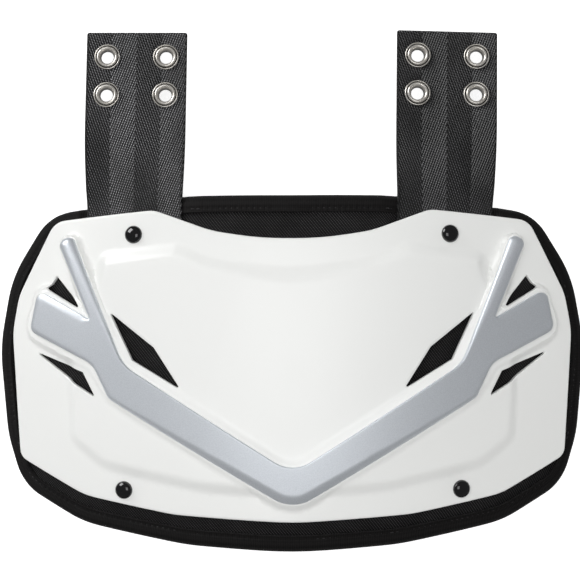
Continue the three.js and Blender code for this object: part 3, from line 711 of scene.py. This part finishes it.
def nickel():
    material, nodes, links, shader = principled("nickel", (0.90, 0.87, 0.80), 0.2, 0.85)
    wear = ramp(nodes, links, noise(nodes, links, 300, 2), (0.3, (0.26,) * 3), (0.75, (0.32,) * 3))
    links.new(wear, shader.inputs["Roughness"])
    tone = ramp(nodes, links, noise(nodes, links, 150, 2),
                (0.3, (0.86, 0.82, 0.75)), (0.7, (0.94, 0.91, 0.86)))
    radius, _ = sheet_axes(nodes, links)
    share = math_node(nodes, links, "DIVIDE", radius, EYELET_DIAMETER / 2)
    # Painted shade: the eyelet is painted dark in the groove between its flange and crown. It is
    # painted half dark at the bore and at the outer rim, where shade falls.
    painted_ring_shade = ramp(nodes, links, share, (0.5, (0.3,) * 3), (0.57, (1,) * 3), (0.79, (1,) * 3),
                   (0.83, (0.06,) * 3), (0.875, (0.06,) * 3), (0.91, (1,) * 3), (0.97, (1,) * 3),
                   (1, (0.3,) * 3))
    links.new(times(nodes, links, tone, painted_ring_shade), shader.inputs["Base Color"])
    return material


def black_enamel():
    material, nodes, links, shader = principled(
        "black_enamel", (0.003, 0.003, 0.0035), 0.07, Specular_IOR_Level=0.75)
    dust = ramp(nodes, links, noise(nodes, links, 1200, 4), (0.45, (0.05,) * 3), (0.8, (0.1,) * 3))
    links.new(dust, shader.inputs["Roughness"])
    return material


def thread():
    material, nodes, links, shader = principled(
        "thread", (0.014, 0.013, 0.014), 0.5, Sheen_Weight=0.1, Specular_IOR_Level=0.4)
    bump(nodes, links, shader, noise(nodes, links, 2500, 2), 0.0001, 0.5)
    return material


MATERIALS = {
    "shell": white_plastic(), "chevron": silver_paint(), "pad": pad_fabric(), "tape": tape_fabric(),
    "webbing": webbing(), "eyelet": nickel(), "rivet": black_enamel(), "thread": thread(),
}


# Pieces

SHELL_CORNERS = whole(SHELL_ROWS, on_shell)
PANEL_CORNERS = whole(PANEL_ROWS, on_shell)
CHEVRON_CORNERS = whole(CHEVRON_ROWS, on_shell)
PAD_CORNERS = whole(PAD_ROWS, on_pad)
shell_loop, _ = outline(SHELL_CORNERS)
panel_loop, _ = outline(PANEL_CORNERS)
chevron_loop, _ = outline(CHEVRON_CORNERS)
pad_loop, _ = outline(PAD_CORNERS)
rivets = {
    f"{row}_{side}": (sign * across * SHELL_WIDTH / 2, up * SHELL_HEIGHT)
    for side, (sign, _) in SIDES.items() for row, (across, up) in RIVET_PLACES.items()
}
vent_loops = []
for sign, _ in SIDES.values():
    for corners in VENTS.values():
        loop = [{"x": sign * across * SHELL_WIDTH / 2, "y": up * SHELL_HEIGHT, "round": VENT_CORNER}
                for across, up in corners]
        turn = sum(a["x"] * b["y"] - b["x"] * a["y"] for a, b in zip(loop, loop[1:] + loop[:1]))
        vent_loops.append(loop if turn > 0 else loop[::-1])


def panel_height(points):
    """Rise of the raised panel, whose step is wider at some corners than at others."""
    line, values = zip(*edge_lines(PANEL_CORNERS, ["slope"]))
    gap, slope = to_line(points, np.concatenate(line), np.concatenate(values))
    deep = np.where(inside(points, panel_loop), gap, -gap)
    return PANEL_RISE * smooth(deep / slope[:, 0] + 0.1)


def bed_height(points):
    """Rise of the bed under the chevron, with a land round it and a slope down."""
    rise = np.zeros(len(points))
    for line, values in edge_lines(CHEVRON_CORNERS, ["rim", "foot", "fall"]):
        gap, row = to_line(points, line, values)
        rim, foot, fall = row.T
        share = np.clip(1 - (gap - rim) / foot, 0, 1)
        land = np.minimum(BED_RISE, CHEVRON_TOP - fall - CHEVRON_EDGE - SHELL_TOP)
        rise = np.maximum(rise, land * (share + smooth(share)) / 2)
    covered = np.minimum(BED_RISE, chevron_top(points) - CHEVRON_EDGE - SHELL_TOP)
    return np.where(inside(points, chevron_loop), covered, rise)


def rounded_edge(gap, radius):
    """How far a rounded edge lies below its face at a distance in from the edge."""
    inner = np.clip(1 - gap / radius, 0, 1)
    return radius * (1 - np.sqrt(1 - inner ** 2))


def shell_heights(points):
    panel, bed = panel_height(points), bed_height(points)
    both = np.clip(np.minimum(panel, bed) / SEAM_BLEND, 0, 1) * SEAM_BLEND + 1e-6
    near = np.clip(1 - np.abs(panel - bed) / both, 0, 1)
    smooth_top = SHELL_TOP + np.maximum(panel, bed) + both * near ** 2 / 4
    under = smooth_top - SHELL_WALL
    edge, _ = to_line(points, closed(shell_loop))
    top = smooth_top - rounded_edge(edge, SHELL_ROUND)
    for vent in vent_loops:
        gap, _ = to_line(points, closed(outline(vent)[0]))
        top -= rounded_edge(gap, VENT_ROUND)
    return top, under


def make_shell():
    holes = [outline(vent, step=FINE)[0] for vent in vent_loops]
    holes += [circle(u, v, RIVET_HOLE / 2, 24) for u, v in rivets.values()]
    outer, _ = outline(SHELL_CORNERS, step=FINE)
    bed_corners = [corner for corner in CHEVRON_CORNERS if corner["round"] > 0]
    lines = [outline(SHELL_CORNERS, inset, FINE)[0] for inset in SHELL_EDGE_LINES]
    lines += [outline(vent, -VENT_LINE, FINE)[0] for vent in vent_loops]
    lines += [outline(bed_corners, -out, FINE)[0] for out in BED_LINES]
    lines += [outline(PANEL_CORNERS, inset, FINE)[0] for inset in PANEL_LINES]
    flat, triangles = surface(outer, holes, lines, FINE)
    top, under = shell_heights(flat)
    points, faces = plate(flat, triangles, top, under)
    piece = make_object("shell_skin", bend(*points.T), faces, MATERIALS["shell"])
    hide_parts("shell")


def chevron_top(points):
    """The chevron's face: the deepest of the bevels that run along its edges."""
    drop = np.zeros(len(points))
    for line, values in edge_lines(CHEVRON_CORNERS, ["slope", "fall", "crown"]):
        gap, row = to_line(points, line, values)
        slope, fall, crown = row.T
        share = np.clip(1 - gap / slope, 0, 1)
        round_drop = 1 - np.sqrt(np.clip(1 - share ** 2, 0, 1))
        drop = np.maximum(drop, fall * (crown * round_drop + (1 - crown) * share))
    return CHEVRON_TOP - drop


def make_chevron():
    outer, _ = outline(CHEVRON_CORNERS, step=CHEVRON_STEP)
    lines = [outline(CHEVRON_CORNERS, inset, CHEVRON_STEP)[0] for inset in CHEVRON_LINES]
    flat, triangles = surface(outer, [], lines, CHEVRON_SPACING)
    top = chevron_top(flat)
    under = np.minimum(CHEVRON_UNDER - CLEARANCE, top - CHEVRON_EDGE) - CHEVRON_GLUE
    points, faces = plate(flat, triangles, top, under)
    piece = make_object("chevron_skin", bend(*points.T), faces, MATERIALS["chevron"],
                        sharp=50)
    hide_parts("chevron")


STRAP_PRESS_HALF = STRAP_WIDTH / 2 + PRESS_ROOM
TOP_RIVET_U, TOP_RIVET_V = rivets["top_right"]
STRAP_FOOT = TOP_RIVET_V - STRAP_TAIL
STRAP_TOP = STRAP_FOOT + STRAP_LENGTH
TURN_FROM = PAD_ABOVE - STRAP_FLATTENING / 2
TURN_TO = TURN_FROM + STRAP_TURN
STRAP_MIDDLES = [sign * TOP_RIVET_U + aside for sign, aside in SIDES.values()]


def press(u, v):
    """1 where a strap presses the pad in, 0 beside it."""
    beside = np.min([np.abs(u - middle) for middle in STRAP_MIDDLES], axis=0) - STRAP_PRESS_HALF
    across = smooth(1 - beside / PRESS_EDGE)
    return across * smooth(1 - (STRAP_FOOT - PRESS_ROOM - v) / PRESS_EDGE)


# Heights of the pad's two faces by the distance in from its outline
FRONT_BY_INSET = [(1.6, -4.6), (1.9, -3.5), (2.6, -2.6), (3.6, -2.2), (8.4, -1.85), (11, -0.9),
                  (14.6, -0.15), (22, 0), (400, 0)]
BACK_BY_INSET = [(1.6, -5.2), (1.9, -6.3), (2.6, -7.2), (3.6, -7.7), (8.4, -9.2), (13, -10.8),
                 (21.6, -11.9), (34, -12), (400, -12)]


def ripple(u, v, size, seed):
    """A soft relief from a few waves, whose directions come from the seed."""
    random = np.random.default_rng(seed)
    total = np.zeros_like(u)
    for _ in range(9):
        angle, phase = random.uniform(0, 2 * np.pi, 2)
        length = size * random.uniform(0.6, 1.6)
        total += np.sin(2 * np.pi * (u * np.cos(angle) + v * np.sin(angle)) / length + phase)
    return total / 9


def swell(points, faces, held):
    """Points of a closed cover swollen as cloth by air pressure, none moved past the limit."""
    mesh = bpy.data.meshes.new("swelling")
    mesh.from_pydata(points.tolist(), [], [tuple(map(int, face)) for face in faces])
    body = bpy.data.objects.new("swelling", mesh)
    bpy.context.scene.collection.objects.link(body)
    body.vertex_groups.new(name="held").add(np.nonzero(held)[0].tolist(), 1, "REPLACE")
    cloth = body.modifiers.new("cloth", "CLOTH")
    cloth.settings.vertex_group_mass = "held"
    cloth.settings.use_pressure = True
    cloth.settings.uniform_pressure_force = SWELL_PRESSURE
    cloth.settings.effector_weights.gravity = 0
    cloth.point_cache.frame_end = SWELL_FRAMES
    for number in range(1, SWELL_FRAMES + 1):
        bpy.context.scene.frame_set(number)
    swollen = body.evaluated_get(bpy.context.evaluated_depsgraph_get()).data
    places = np.zeros(3 * len(points))
    swollen.vertices.foreach_get("co", places)
    moved = places.reshape(-1, 3) - points
    bpy.context.scene.frame_set(1)
    bpy.data.objects.remove(body)
    bpy.data.meshes.remove(mesh)
    length = np.linalg.norm(moved, axis=1, keepdims=True)
    return points + moved * np.minimum(1, SWELL_LIMIT * MM / np.maximum(length, 1e-9))


def make_pad():
    outer, _ = outline(PAD_CORNERS, PAD_RIM_INSET, PAD_STEP)
    holes = [circle(u, v, RIVET_HOLE / 2, 16) for u, v in rivets.values()]
    lines = [outline(PAD_CORNERS, inset, PAD_STEP)[0] for inset in PAD_LINES]
    closer = [point for u, v in rivets.values() for radius in DIMPLE_RINGS
              for point in circle(u, v, radius, 28)]
    flat, triangles = surface(outer, holes, lines, COARSE, closer)
    u, v = flat.T
    inset = np.maximum(to_line(flat, closed(pad_loop))[0], PAD_RIM_INSET)
    front = np.interp(inset, *np.array(FRONT_BY_INSET).T)
    back = np.interp(inset, *np.array(BACK_BY_INSET).T)
    calm = smooth((inset - 8) / 8)
    front -= PRESS_DEPTH * press(u, v)
    front -= FRONT_WRINKLE * calm * (1 + ripple(u, v, 14, 3))
    room = BACK_WRINKLE + SWELL_ROOM * smooth((inset - 12) / 20)
    back += room * calm * (1 + ripple(u, v, 38, 5))
    away = np.min([np.hypot(u - x, v - y) for x, y in rivets.values()], axis=0)
    dimple = 1 - smooth((away - DIMPLE_FLOOR) / DIMPLE_WIDTH)
    back = np.maximum(back, -PAD_THICKNESS + (PAD_THICKNESS + TAIL_UNDER) * dimple)
    points, faces = plate(flat, triangles, front, back)
    placed = bend(*points.T)
    fixed = (inset < BACK_HELD) | (away < RIVET_TAIL / 2 + PRESS_ROOM)
    placed = swell(placed, faces, np.concatenate([np.ones(len(flat), bool), fixed]))
    sheet = np.tile(flat, (2, 1))
    piece = make_object("pad_cover", placed, faces, MATERIALS["pad"], sheet, 60)
    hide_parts("pad")


# Outside of the tape's section: in from the pad's outline, and level
TAPE_OUTSIDE = [
    (8.3, -0.75), (8.25, -0.4), (7.9, -0.22), (7.3, -0.28), (6.9, -0.36), (6.4, -0.4), (5.9, -0.36),
    (5.4, -0.28), (4.6, -0.2), (3, -0.4), (1.6, -1.2), (0.6, -2.6), (0.1, -4.2), (0.05, -5.6),
    (0.5, -7.2), (1.5, -8.6), (3, -9.5), (4.8, -10.0), (5.6, -9.95), (6.4, -9.9), (7.2, -10.3),
    (7.9, -10.7), (8.25, -10.6), (8.3, -10.2),
]


def tape_section():
    """The tape's section as a closed ring of points, outside then inside."""
    outside = np.array(TAPE_OUTSIDE)
    along = np.gradient(outside, axis=0)
    normal = unit(np.stack([along[:, 1], -along[:, 0]], axis=1))
    within = outside + normal * TAPE_THICKNESS
    return np.concatenate([outside, within[2:-2][::-1]])


def length_along(loop):
    """How far each point of a loop lies from its first, with the whole length last."""
    arms = np.linalg.norm(np.diff(closed(loop), axis=0), axis=1)
    return np.concatenate([[0], np.cumsum(arms)])


def sweep(corners, section, step, wobble):
    """A closed ring of the section along an outline, with its level shifted by wobble."""
    _, counts = outline(corners, 0, step)
    base, _ = outline(corners, 0, step, counts)
    length = length_along(base)
    rings = []
    for inset, level in section:
        loop, _ = outline(corners, inset, step, counts)
        rings.append(np.column_stack([loop, level + wobble(length[:-1], inset, level)]))
    points = np.concatenate(rings)
    size, count = len(base), len(rings)
    faces = []
    for k in range(count):
        for i in range(size):
            j = (i + 1) % size
            m = (k + 1) % count
            faces.append((k * size + i, m * size + i, m * size + j, k * size + j))
    sheet = np.column_stack([np.tile(length[:-1], count), np.repeat(np.arange(count), size) * 0.8])
    return points, faces, sheet


def pressed(points):
    """The tape's front goes down with the pad under the straps."""
    points = points.copy()
    share = np.clip((points[:, 2] - TAIL_UNDER) / (-2.1 - TAIL_UNDER), 0, 1)
    points[:, 2] -= PRESS_DEPTH * share * press(points[:, 0], points[:, 1])
    return points


def pucker(length, inset, level):
    """The tape dips between the stitches and lifts a little from place to place."""
    seam = np.exp(-((inset - STITCH_INSET) / STITCH_VALLEY) ** 2)
    dip = (0.5 + 0.5 * np.cos(2 * np.pi * length / STITCH_PITCH)) ** 2
    lift = 0.10 * np.sin(2 * np.pi * length / 41) + 0.08 * np.sin(2 * np.pi * length / 17.3 + 1)
    out = 1 if level > -5 else -1
    return out * (lift * smooth((inset - 2) / 6) - STITCH_DIP * seam * dip)


def settle(points):
    """Nothing goes below the surface that the plate lies on."""
    points[:, 2] = np.maximum(points[:, 2], 0)
    return points


def make_tape():
    points, faces, sheet = sweep(PAD_CORNERS, tape_section(), TAPE_STEP, pucker)
    placed = settle(bend(*pressed(points).T))
    piece = make_object("edge_tape_skin", placed, faces, MATERIALS["tape"], sheet, 60)
    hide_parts("edge_tape")


def stitch_row(name, level, out):
    """Short threads that lie along the tape, each dipping in at its ends."""
    loop, _ = outline(PAD_CORNERS, STITCH_INSET, 0.5)
    length = length_along(loop)
    count = round(length[-1] / STITCH_PITCH)
    pitch = length[-1] / count
    shares = np.linspace(-1, 1, 7)
    angles = 2 * np.pi * np.arange(STITCH_SIDES) / STITCH_SIDES
    points, faces = [], []
    for n in range(count):
        middle = (n + 0.5) * pitch
        at = (middle + shares * STITCH_LENGTH / 2) % length[-1]
        u = np.interp(at, length, closed(loop)[:, 0])
        v = np.interp(at, length, closed(loop)[:, 1])
        arc = level + out * (0.1 + 0.28 * (1 - shares ** 2) - 0.45 * shares ** 8)
        thick = THREAD / 2 * np.sqrt(np.clip(1.04 - shares ** 8, 0.04, 1))
        centre = np.column_stack([u, v, arc])
        forward = unit(np.gradient(centre, axis=0))
        side = unit(np.cross(forward, [0, 0, 1]))
        rise = np.cross(side, forward)
        spokes = (np.cos(angles)[None, :, None] * side[:, None]
                  + np.sin(angles)[None, :, None] * rise[:, None])
        points.append((centre[:, None] + thick[:, None, None] * spokes).reshape(-1, 3))
        rings = [[STITCH_SIDES * (len(shares) * n + k) + i for i in range(STITCH_SIDES)]
                 for k in range(len(shares))]
        for low, high in zip(rings, rings[1:]):
            for i in range(STITCH_SIDES):
                j = (i + 1) % STITCH_SIDES
                faces.append((low[i], low[j], high[j], high[i]))
        faces.append(tuple(rings[0][::-1]))
        faces.append(tuple(rings[-1]))
    placed = settle(bend(*pressed(np.concatenate(points)).T))
    make_object(name, placed, faces, MATERIALS["thread"])


def strap_ribbon(sign, aside):
    """Place function of a strap, and the frame of its flat end, in mm."""
    def strap_u(v):
        return sign * TOP_RIVET_U + aside + (v - TOP_RIVET_V) * math.tan(STRAP_LEAN)

    start = frame_at(strap_u(TURN_FROM), TURN_FROM, 0) @ Matrix.Rotation(-STRAP_LEAN, 4, "Z")
    begin = start.to_quaternion()
    turn = (Matrix.Rotation(-STRAP_LEAN, 4, "Z") @ Matrix.Rotation(-STRAP_END_SLOPE, 4, "X")
            @ Matrix.Rotation(sign * STRAP_END_TILT, 4, "Y"))
    end = turn.to_quaternion()
    up = Vector((0, STRAP_TURN / 2, 0))
    first = start.translation
    second = first + begin @ up
    third = second + end @ up
    frame_end = Matrix.Translation(third) @ turn

    def place(w, v, h):
        placed = np.array(bend_mm(strap_u(v) + w, v, h))
        for i in np.nonzero(v > TURN_FROM)[0]:
            if v[i] >= TURN_TO:
                placed[i] = frame_end @ Vector((w[i], v[i] - TURN_TO, h[i]))
                continue
            share = (v[i] - TURN_FROM) / STRAP_TURN
            line = first * (1 - share) ** 2 + second * 2 * share * (1 - share) + third * share ** 2
            twist = begin.slerp(end, float(smooth(share)))
            ribbon = np.array(twist @ Vector((w[i], 0, h[i])) + line)
            part = float(smooth((v[i] - TURN_FROM) / STRAP_FLATTENING))
            placed[i] = placed[i] * (1 - part) + ribbon * part
        return in_frame(placed)
    return place, frame_end


EYELET_PLACES = [(side * EYELETS_ACROSS / 2, STRAP_TOP - EYELET_INSET - row * EYELETS_ALONG)
                 for side in (-1, 1) for row in (0, 1)]


def make_strap(side):
    sign, aside = SIDES[side]
    half = STRAP_WIDTH / 2
    places = [(-half, STRAP_FOOT, STRAP_FOOT_ROUND), (half, STRAP_FOOT, STRAP_FOOT_ROUND),
              (half, STRAP_TOP, STRAP_TOP_ROUND), (-half, STRAP_TOP, STRAP_TOP_ROUND)]
    corners = [{"x": x, "y": y, "round": rounding} for x, y, rounding in places]
    outer, _ = outline(corners, step=STRAP_STEP)
    holes = [circle(w, v, EYELET_HOLE / 2, 32) for w, v in EYELET_PLACES]
    holes.append(circle(-aside, TOP_RIVET_V, RIVET_HOLE / 2, 20))
    lines = [outline(corners, inset, STRAP_STEP)[0] for inset in (0.1, 0.3, STRAP_ROUND, 1.4)]
    closer = [point for w, v in EYELET_PLACES for radius in EYELET_RINGS
              for point in circle(w, v, radius, 36)]
    flat, triangles = surface(outer, holes, lines, COARSE, closer)
    w, v = flat.T
    edge, _ = to_line(flat, closed(outer))
    fall = rounded_edge(edge, STRAP_ROUND)
    squeeze = np.zeros(len(flat))
    for place in EYELET_PLACES:
        away = np.hypot(w - place[0], v - place[1])
        squeeze = np.maximum(squeeze, EYELET_SQUEEZE * (1 - smooth((away - 5.5) / 3.5)))
    selvedge = 0.12 * np.exp(-((edge - 2.2) / 0.5) ** 2) * (np.abs(w) > half - 4)
    top = -(fall + squeeze + selvedge)
    under = -STRAP_THICKNESS - top
    points, faces = plate(flat, triangles, top, under)
    place, frame_end = strap_ribbon(sign, aside)
    sheet = np.tile(flat, (2, 1))
    piece = make_object(f"strap_{side}_webbing", place(*points.T), faces, MATERIALS["webbing"],
                        sheet, 50)
    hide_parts(f"strap_{side}")
    return frame_end


def eyelet_profile():
    """Section of an eyelet: radius and level off the webbing's top."""
    outer, hole = EYELET_DIAMETER / 2, EYELET_BORE / 2
    low = -STRAP_THICKNESS
    return [
        (4.15, 0.0), (5.6, -0.02), (6.3, 0.0), (outer - 0.05, 0.12), (outer, 0.3), (outer - 0.06, 0.5),
        (6.38, 0.68), (6.15, 0.75), (5.95, 0.62), (5.82, 0.12), (5.5, 0.12), (5.4, 0.65), (5.26, 1.08),
        (5.05, 1.35), (4.75, 1.48), (4.45, 1.45), (4.15, 1.28), (3.9, 0.98), (3.72, 0.55), (hole, -0.1),
        (3.3, -0.9), (3.15, low + 0.4), (3.2, low - 0.3), (3.7, low - 0.85), (4.6, low - 0.95),
        (5.3, low - 0.8), (5.9, low - 0.72), (6.3, low - 0.6), (6.5, low - 0.35), (6.4, low - 0.1),
        (6.1, low), (4.15, low),
    ]


def make_eyelets(side, frame_end):
    for i, (w, v) in enumerate(EYELET_PLACES):
        points, faces = lathe(eyelet_profile(), EYELET_SIDES)
        radii = [(math.hypot(x, y), level) for x, y, level in points]
        matrix = frame_end @ Matrix.Translation((w, v - TURN_TO, 0))
        piece = make_object(f"eyelet_{side}_{i + 1}_ring", rigid(matrix)(*points.T), faces,
                            MATERIALS["eyelet"], radii, sharp=75)
        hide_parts(f"eyelet_{side}_{i + 1}")


def make_rivets():
    seat = SHELL_TOP + CLEARANCE / 3
    head = RIVET_HEAD / 2
    tail_top = TAIL_UNDER - CLEARANCE
    angles = np.linspace(0, math.pi / 2, 13)[:-1]
    dome = [(head * math.cos(a) ** 0.9, seat + RIVET_RIM + (RIVET_HEIGHT - RIVET_RIM) * math.sin(a))
            for a in angles]
    profile = [
        (0, tail_top - RIVET_TAIL_HEIGHT), (2.6, tail_top - RIVET_TAIL_HEIGHT),
        (3.5, tail_top - RIVET_TAIL_HEIGHT + 0.25), (RIVET_TAIL / 2, tail_top - 0.6),
        (RIVET_TAIL / 2, tail_top), (RIVET_SHANK / 2, tail_top), (RIVET_SHANK / 2, seat),
        (head - 0.15, seat), (head, seat + 0.12), *dome, (0, seat + RIVET_HEIGHT),
    ]
    for name, (u, v) in rivets.items():
        points, faces = lathe(profile, RIVET_SIDES)
        piece = make_object(f"rivet_{name}_cap", rigid(frame_at(u, v, 0))(*points.T), faces,
                            MATERIALS["rivet"], sharp=35)
        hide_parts(f"rivet_{name}")


make_shell()
make_chevron()
make_pad()
make_tape()
stitch_row("edge_stitches_front", -0.4, 1)
stitch_row("edge_stitches_back", -9.95, -1)
for side in SIDES:
    make_eyelets(side, make_strap(side))
make_rivets()


# Stage

FLOOR_HALF = 3
FLOOR_GLOW = 0.72
WORLD_LIGHT = 0.16


def make_floor():
    mesh = bpy.data.meshes.new("floor")
    corners = [(x * FLOOR_HALF, y * FLOOR_HALF, 0) for x, y in ((-1, -1), (1, -1), (1, 1), (-1, 1))]
    mesh.from_pydata(corners, [], [(0, 1, 2, 3)])
    material, *_ = principled("floor", (0.92, 0.92, 0.92), 0.8, Emission_Color=(1, 1, 1, 1),
                              Emission_Strength=FLOOR_GLOW)
    mesh.materials.append(material)
    floor = bpy.data.objects.new("floor", mesh)
    bpy.context.scene.collection.objects.link(floor)
    floor.visible_glossy = False


def area_light(name, place, size, power, glossy=True, diffuse=True):
    light = bpy.data.lights.new(name, "AREA")
    light.shape = "SQUARE"
    light.size = size
    light.energy = power
    lamp = bpy.data.objects.new(name, light)
    lamp.location = place
    lamp.visible_glossy = glossy
    lamp.visible_diffuse = diffuse
    lamp.rotation_euler = (-Vector(place)).to_track_quat("-Z", "Y").to_euler()
    bpy.context.scene.collection.objects.link(lamp)


make_floor()
area_light("key", (-1.15, 0.93, 0.61), 0.8, 6.5, glossy=False)
area_light("window", (-1.10, 0.89, 0.58), 0.8, 13, diffuse=False)
area_light("overhead", (-0.15, 0.1, 2.4), 2.2, 44, glossy=False)
area_light("lens", (0, 0, 1.9), 0.8, 4.5)
world = bpy.data.worlds.new("studio")
world.use_nodes = True
background = world.node_tree.nodes["Background"]
background.inputs["Color"].default_value = (1, 1, 1, 1)
background.inputs["Strength"].default_value = WORLD_LIGHT
bpy.context.scene.world = world
bpy.context.scene.view_settings.view_transform = "Standard"

# The photo's camera, which looks straight down
CAMERA_PLACE = (-0.001, -0.00069, 1.5993)
CAMERA_TURN = math.radians(-0.2)
PIXELS = 580
FOCAL_PIXELS = 3088.8
SENSOR = 36
camera_data = bpy.data.cameras.new("camera")
camera_data.sensor_width = SENSOR
camera_data.lens = SENSOR * FOCAL_PIXELS / PIXELS
camera = bpy.data.objects.new("camera", camera_data)
camera.location = CAMERA_PLACE
camera.rotation_euler = (0, 0, CAMERA_TURN)
bpy.context.scene.collection.objects.link(camera)
bpy.context.scene.camera = camera
